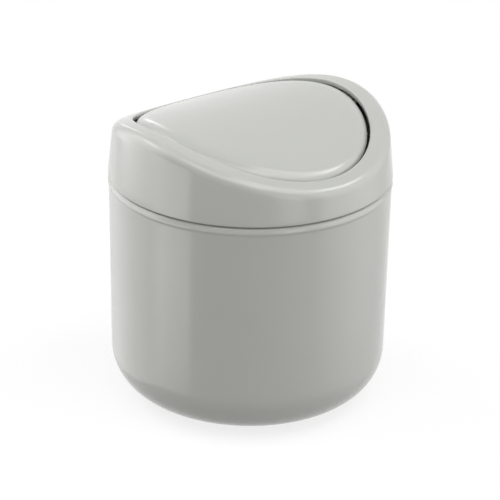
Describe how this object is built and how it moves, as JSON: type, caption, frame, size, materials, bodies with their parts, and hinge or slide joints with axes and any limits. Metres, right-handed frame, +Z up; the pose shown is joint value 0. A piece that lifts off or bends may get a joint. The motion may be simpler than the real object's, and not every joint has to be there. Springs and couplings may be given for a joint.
{
  "type": "countertop waste bin",
  "caption": "Round countertop waste bin: a tub with a rounded base, a saddle-shaped cover that lifts off and a vaulted flap that swings both ways.",
  "frame": {"origin": "on the counter, under the centre of the tub", "axes": "+Z up, X along the hinge line of the flap, Y across it towards the low sides of the cover"},
  "size_m": [0.1504, 0.1504, 0.16],
  "materials": {
    "moulded_plastic": "polished moulding",
    "bracket_plastic": "plain moulding",
    "pin_steel": "ground",
    "screw_steel": "zinc plated",
    "weight_steel": "mill finish",
    "foot_rubber": "matt"
  },
  "bodies": {
    "tub": {"tub": "moulded_plastic", "foot_front_left": "foot_rubber", "foot_front_right": "foot_rubber", "foot_back_left": "foot_rubber", "foot_back_right": "foot_rubber"},
    "cover": {"cover": "moulded_plastic", "hinge_bracket_left": "bracket_plastic", "hinge_bracket_right": "bracket_plastic", "bracket_screws": "screw_steel"},
    "flap": {"swing_flap": "moulded_plastic", "hinge_pin_left": "pin_steel", "hinge_pin_right": "pin_steel", "counterweight": "weight_steel", "counterweight_screws": "screw_steel"}
  },
  "joints": [
    {"name": "cover_lift", "type": "slide", "parent": "tub", "child": "cover", "axis": [0, 0, 1], "range_m": [0, 0.06]},
    {"name": "flap_swing", "type": "hinge", "parent": "cover", "child": "flap", "pos_m": [0, 0, 0.155], "axis": [1, 0, 0], "range_deg": [-80, 80]}
  ]
}
